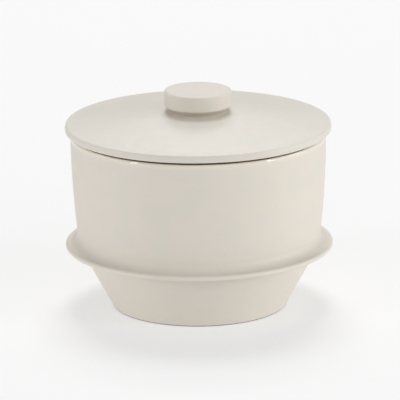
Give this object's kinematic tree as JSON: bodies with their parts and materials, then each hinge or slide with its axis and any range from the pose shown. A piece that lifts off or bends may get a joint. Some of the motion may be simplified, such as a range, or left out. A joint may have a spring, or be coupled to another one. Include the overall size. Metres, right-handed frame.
{
  "type": "lidded stoneware pot",
  "caption": "Round lidded stoneware pot with a flange at its waist, a conical foot and a loose domed lid that lifts off by a disc knob.",
  "frame": {"origin": "on the axis, in the plane that the foot ring stands on", "axes": "+Z along the axis of revolution, up through the knob; the object is round, so +X and +Y are free"},
  "size_m": [0.1088, 0.1088, 0.0894],
  "materials": {
    "pot_glaze": "satin oatmeal glaze with soft warm and cool mottling and fine specks, bare brown clay on the foot ring and the rim's seat",
    "lid_glaze": "satin oatmeal glaze like the pot's, bare brown clay on the seat underneath",
    "knob_glaze": "satin oatmeal glaze, thinner over the rounded edges"
  },
  "bodies": {
    "pot": {"pot_body": "pot_glaze"},
    "lid": {"lid_plate": "lid_glaze", "lid_knob": "knob_glaze"}
  },
  "joints": [
    {"name": "lid_lift", "type": "slide", "parent": "pot", "child": "lid", "axis": [0, 0, 1], "range_m": [0, 0.1]}
  ]
}
